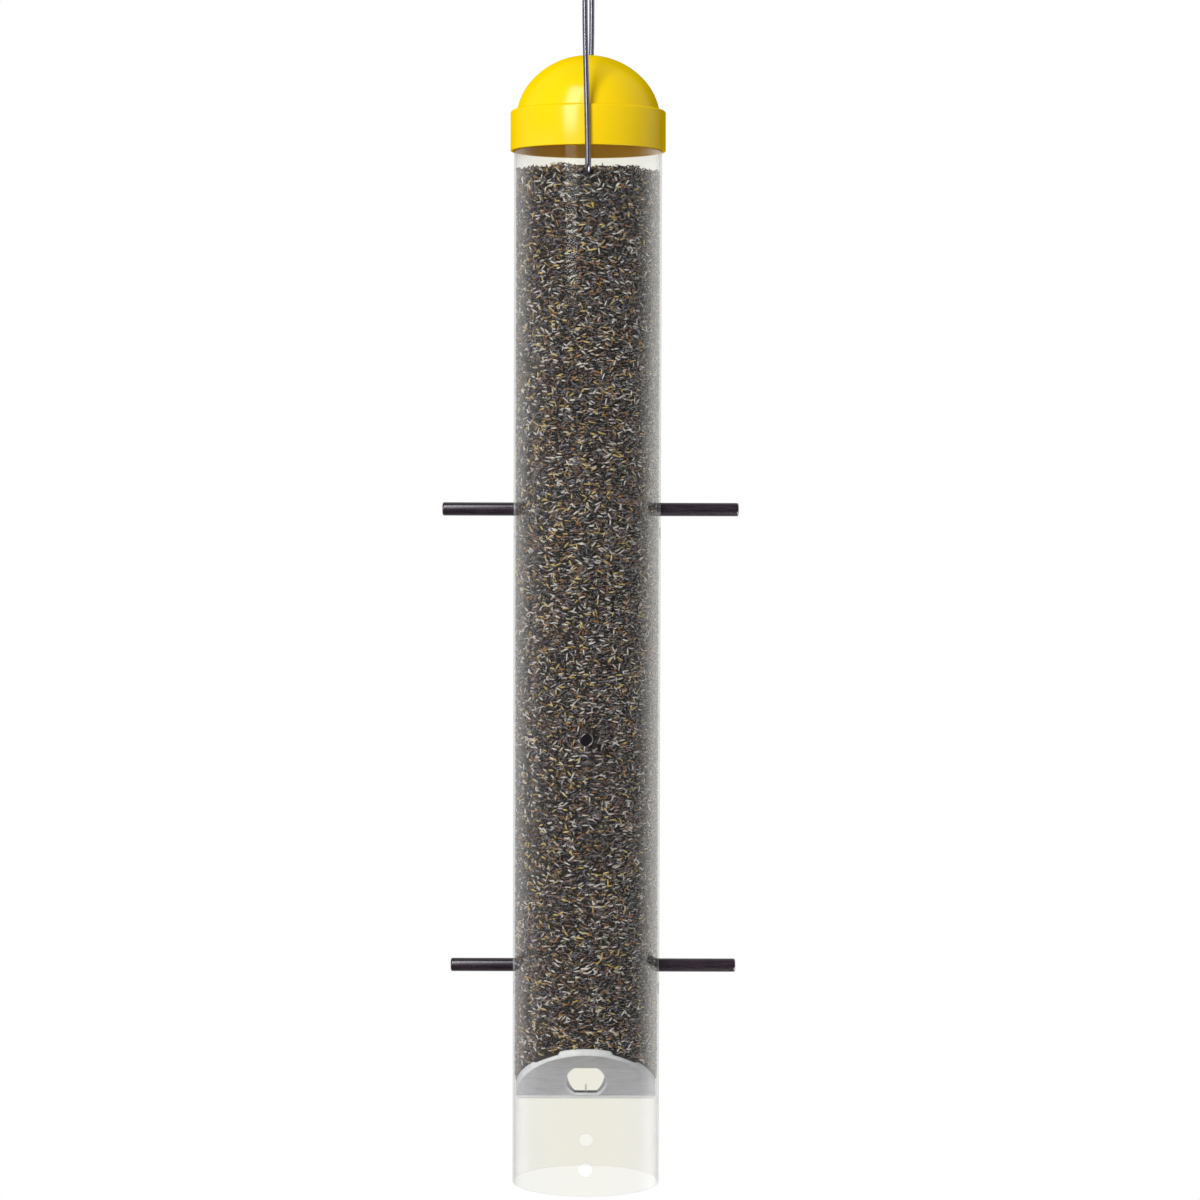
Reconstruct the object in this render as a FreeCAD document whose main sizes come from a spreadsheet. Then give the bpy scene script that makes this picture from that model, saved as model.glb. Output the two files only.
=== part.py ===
import FreeCAD, Part
import math
import os

import Sketcher

# A hanging tube feeder for small seed, in millimetres.
# +Z is up. The origin is the hook seat, inside the top of the wire bail, so the feeder hangs below it.
# Every sub-part is drawn with Z = 0 at the tube's bottom rim and then placed hang_drop below the origin.
# X runs along the upper and lower perches and Y along the middle perch and through the bail's two ends.

DRIVING_DIMENSIONS = (
    ("hang_drop", 655.75, "hook seat down to the tube's bottom rim"),
    ("tube_radius", 35.0, "tube, outside radius"),
    ("tube_bore", 33.4, "tube, inside radius"),
    ("tube_length", 508.0, "tube, rim to rim"),
    ("perch_radius", 3.175, "perch rods, quarter inch dowel"),
    ("perch_gap", 0.05, "clearance round a perch"),
    ("perch_top_level", 321.9, "upper perch axis above the bottom rim"),
    ("perch_middle_level", 217.9, "middle perch axis above the bottom rim"),
    ("perch_bottom_level", 104.1, "lower perch axis above the bottom rim"),
    ("perch_top_left", 68.8, "upper perch, reach to -X"),
    ("perch_top_right", 72.0, "upper perch, reach to +X"),
    ("perch_bottom_left", 64.7, "lower perch, reach to -X"),
    ("perch_bottom_right", 71.3, "lower perch, reach to +X"),
    ("perch_middle_front", 70.0, "middle perch, reach to -Y"),
    ("perch_middle_back", 70.0, "middle perch, reach to +Y"),
    ("port_radius", 2.6, "seed ports"),
    ("port_drop", 11.2, "seed port axis below its perch axis"),
    ("tray_hole_radius", 3.3, "cross holes near the bottom rim"),
    ("tray_hole_level", 12.5, "cross hole axis above the bottom rim"),
    ("wire_radius", 1.25, "bail wire"),
    ("wire_gap", 0.1, "running clearance of the bail ends in the tube"),
    ("pin_level", 479.0, "bail ends above the bottom rim"),
    ("pin_inner_end", 29.0, "bail ends, distance from the tube's axis"),
    ("bail_bend_radius", 3.2, "bend from leg to end, on the wire's centre"),
    ("leg_offset", 38.4, "bail legs, distance from the tube's axis"),
    ("bow_level", 598.0, "centre of the bail's half round bow"),
    ("crook_radius", 7.0, "hook seat, on the wire's centre"),
    ("crook_neck_radius", 8.0, "reverse bend below the hook seat"),
    ("skirt_radius", 36.7, "cap skirt, outside"),
    ("skirt_bore", 35.3, "cap skirt, inside"),
    ("skirt_bottom", 491.2, "cap skirt, lower edge"),
    ("skirt_top", 510.2, "cap skirt, ledge"),
    ("skirt_edge_radius", 1.3, "rounding of the skirt's upper edge"),
    ("dome_radius", 34.2, "cap dome, widest radius"),
    ("dome_level", 505.0, "level of the dome's widest circle"),
    ("dome_top", 536.3, "cap dome, highest point"),
    ("crown_radius", 36.0, "cap dome, radius of its flatter crown"),
    ("cap_wall", 1.5, "cap dome wall"),
    ("valley_level", 41.0, "baffle, underside of the valley"),
    ("panel_rise", 25.4, "baffle, rise of a panel's underside from valley to wall"),
    ("panel_depth", 1.9, "baffle panels, thickness measured upright"),
    ("flange_base_level", 47.1, "baffle flange top, at the ends of the valley"),
    ("flange_rise", 21.4, "baffle flange top, rise from valley ends to front"),
    ("flange_thickness", 1.3, "baffle flange"),
    ("flange_dip", 1.0, "lowered stretch of the flange beside the tab"),
    ("flange_tab", 1.2, "raised tab in the middle of the flange"),
    ("tab_half_width", 11.6, "half width of the raised tab"),
    ("dip_half_width", 23.7, "half width out to the end of the lowered stretch"),
    ("baffle_gap", 0.05, "clearance between baffle and tube"),
    ("duct_level", 50.8, "axis of the baffle's finger hole"),
    ("duct_radius", 9.3, "finger hole, radius of its round sides"),
    ("duct_half_height", 7.7, "finger hole, half height between its flats"),
    ("duct_wall", 1.4, "finger hole wall"),
    ("rib_thickness", 0.9, "rib along the valley floor inside the finger hole"),
    ("rib_half_length", 5.5, "half length of that rib"),
    ("rib_height", 1.4, "height of that rib"),
    ("seed_radius", 33.2, "seed, outside radius"),
    ("seed_top", 476.5, "seed, level of its top"),
    ("seed_clearance", 1.4, "seed above the baffle's flange"),
)

doc = FreeCAD.newDocument("TubeFeeder")
sheet = doc.addObject("Spreadsheet::Sheet", "Dims")
for row, (alias, value, meaning) in enumerate(DRIVING_DIMENSIONS, start=1):
    sheet.set(f"A{row}", meaning)
    sheet.set(f"B{row}", str(value))
    sheet.setAlias(f"B{row}", alias)
doc.recompute()

RIM = "-Dims.hang_drop"
TOOL_REACH = 200.0


def size(expression):
    """The value now of an expression on the sheet, as a plain number."""
    return float(doc.getObject("Dims").evalExpression(expression.replace("Dims.", "")))


# Sketches ------------------------------------------------------------------------------------------------


def origin_plane(body, role):
    return next(f for f in body.Origin.OriginFeatures if f.Role == role)


def new_body(name):
    body = doc.addObject("PartDesign::Body", name)
    body.Label = name
    return body


def new_sketch(body, name, role):
    sketch = body.newObject("Sketcher::SketchObject", name)
    sketch.AttachmentSupport = [(origin_plane(body, role), "")]
    sketch.MapMode = "FlatFace"
    return sketch


def bind(sketch, constraint, expression):
    index = sketch.addConstraint(constraint)
    sketch.setExpression(f"Constraints[{index}]", expression)


def pin_point(sketch, piece, end, across, up):
    """Holds one end or centre of a sketch piece at a place on the sheet's sizes, across and up."""
    for kind, axis, expression in (("DistanceX", -2, across), ("DistanceY", -1, up)):
        if expression is None:
            continue
        value = size(expression)
        if abs(value) < 1e-9:
            sketch.addConstraint(Sketcher.Constraint("PointOnObject", piece, end, axis))
        elif value > 0:
            bind(sketch, Sketcher.Constraint(kind, -1, 1, piece, end, value), expression)
        else:
            bind(sketch, Sketcher.Constraint(kind, piece, end, -1, 1, -value), f"-({expression})")


def add_circle(sketch, across, up, radius):
    centre = FreeCAD.Vector(size(across), size(up), 0)
    circle = sketch.addGeometry(Part.Circle(centre, FreeCAD.Vector(0, 0, 1), size(radius)))
    bind(sketch, Sketcher.Constraint("Radius", circle, size(radius)), radius)
    pin_point(sketch, circle, 3, across, up)


def add_outline(sketch, corners):
    """A closed outline of straight edges through corners, each one (across, up) on the sheet's sizes."""
    points = [FreeCAD.Vector(size(across), size(up), 0) for across, up in corners]
    edges = [
        sketch.addGeometry(Part.LineSegment(point, points[(i + 1) % len(points)]))
        for i, point in enumerate(points)
    ]
    for i, edge in enumerate(edges):
        sketch.addConstraint(Sketcher.Constraint("Coincident", edges[i - 1], 2, edge, 1))
        pin_point(sketch, edge, 1, *corners[i])


def arc(centre, radius, first, last):
    """An arc from one bearing to another, counterclockwise, in degrees."""
    circle = Part.Circle(FreeCAD.Vector(centre[0], centre[1], 0), FreeCAD.Vector(0, 0, 1), radius)
    return Part.ArcOfCircle(circle, math.radians(first), math.radians(last))


def bearing(start, end):
    return math.degrees(math.atan2(end[1] - start[1], end[0] - start[0])) % 360


def feature(body, kind, name, profile=None):
    made = body.newObject(kind, name)
    if profile is not None:
        made.Profile = profile
        profile.Visibility = False
    return made


def place_at_rim(piece):
    piece.setExpression("Placement.Base.z", RIM)


# Tube ----------------------------------------------------------------------------------------------------

PERCHES = (
    ("top", "X", "Dims.perch_top_left", "Dims.perch_top_right"),
    ("middle", "Y", "Dims.perch_middle_front", "Dims.perch_middle_back"),
    ("bottom", "X", "Dims.perch_bottom_left", "Dims.perch_bottom_right"),
)


def drill(body, name, role, holes):
    """Round holes right through both walls of the tube, square to one of its origin planes."""
    sketch = new_sketch(body, f"{name}_sketch", role)
    for level, radius in holes:
        add_circle(sketch, "0", level, radius)
    pocket = feature(body, "PartDesign::Pocket", name, sketch)
    pocket.Midplane = True
    pocket.Type = "Length"
    pocket.Length = TOOL_REACH
    return pocket


def make_tube():
    """A clear extruded tube, drilled across for the perches, the seed ports, the bail and a tray."""
    body = new_body("tube")
    section = new_sketch(body, "tube_section", "XY_Plane")
    add_circle(section, "0", "0", "Dims.tube_radius")
    add_circle(section, "0", "0", "Dims.tube_bore")
    extrusion = feature(body, "PartDesign::Pad", "tube_extrusion", section)
    extrusion.setExpression("Length", "Dims.tube_length")

    def perch_holes(direction):
        for name, along, _left, _right in PERCHES:
            if along == direction:
                yield f"Dims.perch_{name}_level", "Dims.perch_radius + Dims.perch_gap"
                yield f"Dims.perch_{name}_level - Dims.port_drop", "Dims.port_radius"

    across_y = list(perch_holes("Y"))
    across_y.append(("Dims.pin_level", "Dims.wire_radius + Dims.wire_gap"))
    across_y.append(("Dims.tray_hole_level", "Dims.tray_hole_radius"))
    drill(body, "holes_front_to_back", "XZ_Plane", across_y)
    drill(body, "holes_side_to_side", "YZ_Plane", list(perch_holes("X")))
    place_at_rim(body)
    return body


# Perches -------------------------------------------------------------------------------------------------


def make_perch(name, along, low_reach, high_reach):
    """A plain dowel, cut square at both ends, that passes right through the tube."""
    perch = doc.addObject("Part::Cylinder", f"perch_{name}")
    perch.Label = f"perch_{name}"
    perch.setExpression("Radius", "Dims.perch_radius")
    perch.setExpression("Height", f"{low_reach} + {high_reach}")
    turn = FreeCAD.Rotation(FreeCAD.Vector(0, 1, 0), 90)
    if along == "Y":
        turn = FreeCAD.Rotation(FreeCAD.Vector(1, 0, 0), -90)
    perch.Placement = FreeCAD.Placement(FreeCAD.Vector(0, 0, 0), turn)
    perch.setExpression(f"Placement.Base.{along.lower()}", f"-{low_reach}")
    perch.setExpression("Placement.Base.z", f"Dims.perch_{name}_level - Dims.hang_drop")
    return perch


# Bail ----------------------------------------------------------------------------------------------------


def make_bail():
    """One length of wire: ends turned into the tube, upright legs, a half round bow and a crook for the hook."""
    body = new_body("bail_wire")
    spine = new_sketch(body, "front_half_line", "YZ_Plane")
    leg = size("Dims.leg_offset")
    pin = size("Dims.pin_level")
    bend = size("Dims.bail_bend_radius")
    bow = (0.0, size("Dims.bow_level"))
    crook = (0.0, size("Dims.hang_drop + Dims.wire_radius - Dims.crook_radius"))
    neck = size("Dims.crook_neck_radius")
    # The neck arc touches the bow's circle and the crook's circle, both from outside.
    to_bow = leg + neck
    to_crook = size("Dims.crook_radius") + neck
    apart = crook[1] - bow[1]
    up = (to_bow**2 - to_crook**2 + apart**2) / (2 * apart)
    neck_centre = (-math.sqrt(to_bow**2 - up**2), bow[1] + up)
    inner_end = FreeCAD.Vector(-size("Dims.pin_inner_end"), pin, 0)
    bend_start = FreeCAD.Vector(bend - leg, pin, 0)
    leg_foot = FreeCAD.Vector(-leg, pin + bend, 0)
    leg_head = FreeCAD.Vector(-leg, bow[1], 0)
    neck_low = bearing(bow, neck_centre)
    neck_high = bearing(crook, neck_centre)
    end_run = spine.addGeometry(Part.LineSegment(inner_end, bend_start))
    bend_arc = spine.addGeometry(arc((bend - leg, pin + bend), bend, 180, 270))
    leg_run = spine.addGeometry(Part.LineSegment(leg_foot, leg_head))
    bow_arc = spine.addGeometry(arc(bow, leg, neck_low, 180))
    neck_arc = spine.addGeometry(arc(neck_centre, neck, (neck_low + 180) % 360, (neck_high + 180) % 360))
    crook_arc = spine.addGeometry(arc(crook, size("Dims.crook_radius"), 90, neck_high))
    for first, first_end, second, second_end in (
        (end_run, 2, bend_arc, 2),
        (bend_arc, 1, leg_run, 1),
        (leg_run, 2, bow_arc, 2),
        (bow_arc, 1, neck_arc, 1),
        (neck_arc, 2, crook_arc, 2),
    ):
        spine.addConstraint(Sketcher.Constraint("Tangent", first, first_end, second, second_end))
    spine.addConstraint(Sketcher.Constraint("Horizontal", end_run))
    spine.addConstraint(Sketcher.Constraint("Vertical", leg_run))
    pin_point(spine, end_run, 1, "-Dims.pin_inner_end", "Dims.pin_level")
    pin_point(spine, leg_run, 1, "-Dims.leg_offset", None)
    pin_point(spine, bow_arc, 3, "0", "Dims.bow_level")
    pin_point(spine, crook_arc, 3, "0", None)
    pin_point(spine, crook_arc, 1, "0", "Dims.hang_drop + Dims.wire_radius")
    for piece, radius in (
        (bend_arc, "Dims.bail_bend_radius"),
        (neck_arc, "Dims.crook_neck_radius"),
        (crook_arc, "Dims.crook_radius"),
    ):
        bind(spine, Sketcher.Constraint("Radius", piece, size(radius)), radius)

    section = new_sketch(body, "wire_section", "XZ_Plane")
    add_circle(section, "0", "Dims.pin_level", "Dims.wire_radius")
    section.setExpression("AttachmentOffset.Base.z", "Dims.pin_inner_end")
    sweep = feature(body, "PartDesign::AdditivePipe", "front_half", section)
    sweep.Spine = (spine, [])
    spine.Visibility = False
    doc.recompute()
    both = feature(body, "PartDesign::Mirrored", "both_halves")
    both.Originals = [sweep]
    both.MirrorPlane = (origin_plane(body, "XZ_Plane"), [""])
    body.Tip = both
    place_at_rim(body)
    return body


# Cap -----------------------------------------------------------------------------------------------------


def dome_profile(sketch, inset, foot, corners):
    """Half of the dome's section, standing on the straight outline through corners, closed along the axis.

    The dome is two arcs: a crown centred on the axis, and a tighter shoulder that is upright at the dome's
    widest circle. inset is how far the profile lies inside the outer skin, and foot the level it starts at.
    """
    crown = size("Dims.crown_radius")
    top = size("Dims.dome_top")
    widest = size("Dims.dome_radius")
    drop = size("Dims.dome_level") - (top - crown)
    shoulder = (crown**2 - widest**2 - drop**2) / (2 * (crown - widest))
    crown_centre = (0.0, top - crown)
    shoulder_centre = (widest - shoulder, size("Dims.dome_level"))
    thin = size(inset)
    join = bearing(crown_centre, shoulder_centre)
    start = math.degrees(math.asin((size(foot) - shoulder_centre[1]) / (shoulder - thin)))
    shoulder_arc = sketch.addGeometry(arc(shoulder_centre, shoulder - thin, start, join))
    crown_arc = sketch.addGeometry(arc(crown_centre, crown - thin, join, 90))
    shoulder_foot = FreeCAD.Vector(
        shoulder_centre[0] + (shoulder - thin) * math.cos(math.radians(start)), size(foot), 0
    )
    points = [FreeCAD.Vector(size(across), size(level), 0) for across, level in corners]
    apex = FreeCAD.Vector(0, top - thin, 0)
    run = [apex, *points, shoulder_foot]
    edges = [sketch.addGeometry(Part.LineSegment(a, b)) for a, b in zip(run, run[1:])]
    sketch.addConstraint(Sketcher.Constraint("Tangent", shoulder_arc, 2, crown_arc, 1))
    sketch.addConstraint(Sketcher.Constraint("Coincident", crown_arc, 2, edges[0], 1))
    for before, after, corner in zip(edges, edges[1:], corners):
        sketch.addConstraint(Sketcher.Constraint("Coincident", before, 2, after, 1))
        pin_point(sketch, after, 1, *corner)
    sketch.addConstraint(Sketcher.Constraint("Coincident", edges[-1], 2, shoulder_arc, 1))
    pin_point(sketch, shoulder_arc, 1, None, foot)
    pin_point(sketch, shoulder_arc, 3, None, "Dims.dome_level")
    pin_point(sketch, crown_arc, 3, "0", None)
    pin_point(sketch, crown_arc, 2, "0", f"Dims.dome_top - {inset}")
    bind(
        sketch,
        Sketcher.Constraint("Radius", crown_arc, crown - thin),
        f"Dims.crown_radius - {inset}",
    )
    shoulder_rule = (
        "((Dims.crown_radius ^ 2 - Dims.dome_radius ^ 2 - "
        "(Dims.dome_level - Dims.dome_top + Dims.crown_radius) ^ 2) / "
        f"(2 * (Dims.crown_radius - Dims.dome_radius))) - {inset}"
    )
    bind(sketch, Sketcher.Constraint("Radius", shoulder_arc, shoulder - thin), shoulder_rule)


def circle_edges(shape, radius, level):
    """Names of the shape's round edges of that radius that lie at that level."""
    names = []
    for index, edge in enumerate(shape.Edges, start=1):
        box = edge.BoundBox
        flat = box.ZLength < 1e-4 and abs(box.ZMin - level) < 1e-3
        if flat and abs(box.XLength / 2 - radius) < 1e-3:
            names.append(f"Edge{index}")
    return names


def make_cap():
    """A moulded dome with a skirt that drops over the tube and a shoulder that rests on the tube's top rim."""
    body = new_body("cap")
    outer = new_sketch(body, "outer_section", "XZ_Plane")
    dome_profile(
        outer,
        "0 * Dims.cap_wall",
        "Dims.skirt_top",
        (
            ("0", "Dims.skirt_bottom"),
            ("Dims.skirt_radius", "Dims.skirt_bottom"),
            ("Dims.skirt_radius", "Dims.skirt_top"),
        ),
    )
    solid = feature(body, "PartDesign::Revolution", "solid_cap", outer)
    solid.ReferenceAxis = (outer, ["V_Axis"])
    solid.Angle = 360
    doc.recompute()
    rounding = feature(body, "PartDesign::Fillet", "skirt_edge")
    names = circle_edges(solid.Shape, size("Dims.skirt_radius"), size("Dims.skirt_top"))
    rounding.Base = (solid, names)
    rounding.setExpression("Radius", "Dims.skirt_edge_radius")
    doc.recompute()
    inner = new_sketch(body, "inner_section", "XZ_Plane")
    dome_profile(
        inner,
        "Dims.cap_wall",
        "Dims.tube_length",
        (
            ("0", "Dims.skirt_bottom"),
            ("Dims.skirt_bore", "Dims.skirt_bottom"),
            ("Dims.skirt_bore", "Dims.tube_length"),
        ),
    )
    hollow = feature(body, "PartDesign::Groove", "hollow_cap", inner)
    hollow.ReferenceAxis = (inner, ["V_Axis"])
    hollow.Angle = 360
    place_at_rim(body)
    return body


# Baffle --------------------------------------------------------------------------------------------------


def cylinder(name, radius, height, level, along="Z"):
    """A cylinder on the tube's axis that starts at a level, or one through the tube along Y, centred on it."""
    made = doc.addObject("Part::Cylinder", name)
    made.setExpression("Radius", radius)
    if along == "Z":
        made.setExpression("Height", height)
    else:
        made.Height = 2 * TOOL_REACH
        turn = FreeCAD.Rotation(FreeCAD.Vector(1, 0, 0), -90)
        made.Placement = FreeCAD.Placement(FreeCAD.Vector(0, -TOOL_REACH, 0), turn)
    made.setExpression("Placement.Base.z", level)
    return made


def slab(name, half_x, half_y, low, high):
    """A box centred on the tube's axis between two levels."""
    made = doc.addObject("Part::Box", name)
    made.setExpression("Length", f"2 * ({half_x})")
    made.setExpression("Width", f"2 * ({half_y})")
    made.setExpression("Height", f"({high}) - ({low})")
    made.setExpression("Placement.Base.x", f"-({half_x})")
    made.setExpression("Placement.Base.y", f"-({half_y})")
    made.setExpression("Placement.Base.z", low)
    return made


def wedge(name, low_middle, low_side, high_middle, high_side):
    """A V, or a chevron, seen along X and wide enough to cross the tube.

    Each level is given in the middle and at the tube's bore, and the slopes run straight on past it.
    """
    body = doc.addObject("PartDesign::Body", f"{name}_body")
    sketch = new_sketch(body, f"{name}_sketch", "YZ_Plane")
    far = "1.2 * Dims.tube_bore"

    def beyond(middle, side):
        return f"{middle} + 1.2 * (({side}) - ({middle}))"

    add_outline(
        sketch,
        (
            ("0", low_middle),
            (far, beyond(low_middle, low_side)),
            (far, beyond(high_middle, high_side)),
            ("0", high_middle),
            (f"-({far})", beyond(high_middle, high_side)),
            (f"-({far})", beyond(low_middle, low_side)),
        ),
    )
    pad = feature(body, "PartDesign::Pad", name, sketch)
    pad.Midplane = True
    pad.Length = 2 * TOOL_REACH
    return body


def combine(kind, name, *shapes):
    if kind == "Cut":
        made = doc.addObject("Part::Cut", name)
        made.Base, made.Tool = shapes
        return made
    made = doc.addObject(f"Part::Multi{kind}", name)
    made.Shapes = list(shapes)
    return made


def make_baffle():
    """A moulded V that carries the seed: two sloping panels, a flange on the tube wall and a finger hole."""
    outside = "Dims.tube_bore - Dims.baffle_gap"
    valley = "Dims.valley_level"
    flange = "Dims.flange_base_level"
    wall = cylinder("baffle_round", outside, "Dims.tube_length / 2", valley)
    lining = cylinder(
        "baffle_round_inside", f"{outside} - Dims.flange_thickness", "Dims.tube_length / 2", valley
    )
    panels = combine(
        "Common",
        "panels",
        wall,
        wedge(
            "panel_slopes",
            valley,
            f"{valley} + Dims.panel_rise",
            f"{valley} + Dims.panel_depth",
            f"{valley} + Dims.panel_depth + Dims.panel_rise",
        ),
    )

    def flange_stretch(name, extra, limit, inside):
        band = wedge(
            f"{name}_slopes",
            valley,
            f"{valley} + Dims.panel_rise",
            f"{flange} + {extra}",
            f"{flange} + Dims.flange_rise + {extra}",
        )
        ring = combine("Cut", f"{name}_ring", wall, lining)
        whole = combine("Common", f"{name}_whole", ring, band)
        block = slab(f"{name}_block", limit, "Dims.tube_radius", "0", "Dims.tube_length")
        return combine("Common" if inside else "Cut", name, whole, block)

    ends = flange_stretch("flange_ends", "0", "Dims.dip_half_width", False)
    dips = flange_stretch("flange_dips", "-Dims.flange_dip", "Dims.dip_half_width", True)
    tabs = flange_stretch("flange_tabs", "Dims.flange_tab", "Dims.tab_half_width", True)
    duct_outside = combine(
        "Common",
        "duct_outside",
        cylinder("duct_round", "Dims.duct_radius + Dims.duct_wall", "0", "Dims.duct_level", "Y"),
        slab(
            "duct_flats",
            "Dims.tube_bore",
            "Dims.tube_bore - Dims.baffle_gap - Dims.flange_thickness / 2",
            "Dims.duct_level - Dims.duct_half_height - Dims.duct_wall",
            "Dims.duct_level + Dims.duct_half_height + Dims.duct_wall",
        ),
    )
    duct_inside = combine(
        "Common",
        "duct_inside",
        cylinder("hole_round", "Dims.duct_radius", "0", "Dims.duct_level", "Y"),
        slab(
            "hole_flats",
            "Dims.tube_bore",
            "2 * Dims.tube_bore",
            "Dims.duct_level - Dims.duct_half_height",
            "Dims.duct_level + Dims.duct_half_height",
        ),
    )
    above_panels = wedge(
        "above_panels",
        valley,
        f"{valley} + Dims.panel_rise",
        "Dims.tube_length / 2",
        "Dims.tube_length / 2",
    )
    duct = combine("Common", "duct_in_seed", duct_outside, above_panels)
    solid = combine("Fuse", "baffle_solid", panels, ends, dips, tabs, duct)
    opened = combine("Cut", "baffle_opened", solid, duct_inside)
    rib = slab(
        "valley_rib",
        "Dims.rib_thickness / 2",
        "Dims.rib_half_length",
        "Dims.duct_level - Dims.duct_half_height - Dims.rib_height / 2",
        "Dims.duct_level - Dims.duct_half_height + Dims.rib_height",
    )
    baffle = combine("Fuse", "seed_baffle", opened, rib)
    baffle.Label = "seed_baffle"
    place_at_rim(baffle)
    return baffle, duct_outside


# Seed ----------------------------------------------------------------------------------------------------


def make_seed(duct_outside):
    """The seed as one closed solid: the tube's bore above the baffle, with room round the perches and duct."""
    column = cylinder(
        "seed_column", "Dims.seed_radius", "Dims.seed_top - Dims.valley_level", "Dims.valley_level"
    )
    lift = "Dims.flange_base_level + Dims.flange_tab + Dims.seed_clearance"
    space = wedge(
        "seed_space",
        lift,
        f"{lift} + Dims.flange_rise",
        "Dims.tube_length",
        "Dims.tube_length",
    )
    heap = combine("Common", "seed_heap", column, space)
    tools = [duct_outside]
    for name, along, _left, _right in PERCHES:
        tool = doc.addObject("Part::Cylinder", f"perch_{name}_room")
        tool.setExpression("Radius", "Dims.perch_radius + Dims.perch_gap")
        tool.Height = 2 * TOOL_REACH
        if along == "X":
            turn = FreeCAD.Rotation(FreeCAD.Vector(0, 1, 0), 90)
            tool.Placement = FreeCAD.Placement(FreeCAD.Vector(-TOOL_REACH, 0, 0), turn)
        else:
            turn = FreeCAD.Rotation(FreeCAD.Vector(1, 0, 0), -90)
            tool.Placement = FreeCAD.Placement(FreeCAD.Vector(0, -TOOL_REACH, 0), turn)
        tool.setExpression("Placement.Base.z", f"Dims.perch_{name}_level")
        tools.append(tool)
    seed = combine("Cut", "seed_fill", heap, combine("Fuse", "seed_rooms", *tools))
    seed.Label = "seed_fill"
    place_at_rim(seed)
    return seed


# The whole feeder ----------------------------------------------------------------------------------------

baffle, duct_outside = make_baffle()
sub_parts = [
    make_bail(),
    make_tube(),
    make_cap(),
    *(make_perch(*perch) for perch in PERCHES),
    baffle,
    make_seed(duct_outside),
]
doc.recompute()

for item in doc.Objects:
    if "Invalid" in item.State or "Error" in item.State:
        raise RuntimeError(f"{item.Label} did not recompute: {item.State}")
    if item.isDerivedFrom("Sketcher::SketchObject") and item.solve() != 0:
        raise RuntimeError(f"{item.Label} has constraints that do not solve")
for piece in sub_parts:
    if piece.Shape.isNull() or not piece.Shape.isValid():
        raise RuntimeError(f"{piece.Label} has no valid shape")

os.makedirs("parts", exist_ok=True)
for piece in sub_parts:
    piece.Shape.exportStep(os.path.join("parts", f"{piece.Label}.step"))
    volume = piece.Shape.Volume / 1000
    print(f"{piece.Label}: {len(piece.Shape.Solids)} solid, {volume:.2f} cm3, {piece.Shape.BoundBox}")
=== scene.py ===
import math

import bpy
import numpy as np
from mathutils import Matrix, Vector
from mathutils.geometry import delaunay_2d_cdt


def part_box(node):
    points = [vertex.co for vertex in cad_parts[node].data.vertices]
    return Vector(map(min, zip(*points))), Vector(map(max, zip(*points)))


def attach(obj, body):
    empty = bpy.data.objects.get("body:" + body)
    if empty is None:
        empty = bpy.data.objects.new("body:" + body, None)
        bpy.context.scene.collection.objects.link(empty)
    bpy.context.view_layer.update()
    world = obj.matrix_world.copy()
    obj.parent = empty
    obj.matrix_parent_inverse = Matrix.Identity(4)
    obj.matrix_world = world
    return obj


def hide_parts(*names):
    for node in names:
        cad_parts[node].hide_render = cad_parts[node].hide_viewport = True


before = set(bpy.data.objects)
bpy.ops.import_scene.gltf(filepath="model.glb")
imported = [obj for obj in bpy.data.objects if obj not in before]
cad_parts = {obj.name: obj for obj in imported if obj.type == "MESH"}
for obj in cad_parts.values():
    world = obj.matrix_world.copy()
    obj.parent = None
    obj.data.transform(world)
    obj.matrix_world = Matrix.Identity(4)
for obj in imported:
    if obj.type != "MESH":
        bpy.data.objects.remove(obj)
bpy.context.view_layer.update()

# A hanging tube feeder full of fine seed, in metres, in the CAD model's frame: the origin is the hook seat,
# +Z is up, X runs along the upper and lower perches and Y along the middle perch.
MM = 0.001

# Places and sizes from the frame
TUBE_LOW, TUBE_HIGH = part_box("tube")
CAP_LOW, CAP_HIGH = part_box("cap")
BAIL_LOW, BAIL_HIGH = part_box("bail_wire")
BAFFLE_LOW, BAFFLE_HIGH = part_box("seed_baffle")
SEED_LOW, SEED_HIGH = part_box("seed_fill")
RIM = TUBE_LOW.z
TUBE_TOP = TUBE_HIGH.z
TUBE_RADIUS = TUBE_HIGH.x
# Clear plastic bends the seed's outline out towards its surface, so the wall is drawn thinner than it is.
TUBE_BORE = TUBE_RADIUS - 0.7 * MM
PERCHES = ("perch_top", "perch_middle", "perch_bottom")

# Cap
SKIRT_RADIUS = CAP_HIGH.x
SKIRT_BORE = SKIRT_RADIUS - 1.4 * MM
SKIRT_TOP = CAP_LOW.z + 19.0 * MM
SKIRT_ROUND = 1.3 * MM
EDGE_ROUND = 0.35 * MM
DOME_RADIUS = 34.2 * MM
DOME_LEVEL = CAP_LOW.z + 13.8 * MM
DOME_FILLET = 0.7 * MM
CROWN_RADIUS = 36.0 * MM
CAP_WALL = 1.5 * MM

# Bail
WIRE_RADIUS = 1.25 * MM
LEG_OFFSET = BAIL_HIGH.y - WIRE_RADIUS
PIN_LEVEL = BAIL_LOW.z + WIRE_RADIUS
PIN_INNER_END = 29.0 * MM
PIN_END_RADIUS = 0.75 * WIRE_RADIUS
PIN_EASE = 0.3 * MM
BAIL_BEND = 3.2 * MM
CROOK_RADIUS = 7.0 * MM
NECK_RADIUS = 8.0 * MM
CROOK_LEVEL = BAIL_HIGH.z - WIRE_RADIUS - CROOK_RADIUS
BOW_LEVEL = CROOK_LEVEL - 52.0 * MM
BAIL_TWIST = math.radians(2.2)
TWIST_RISE = 80.0 * MM

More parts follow.
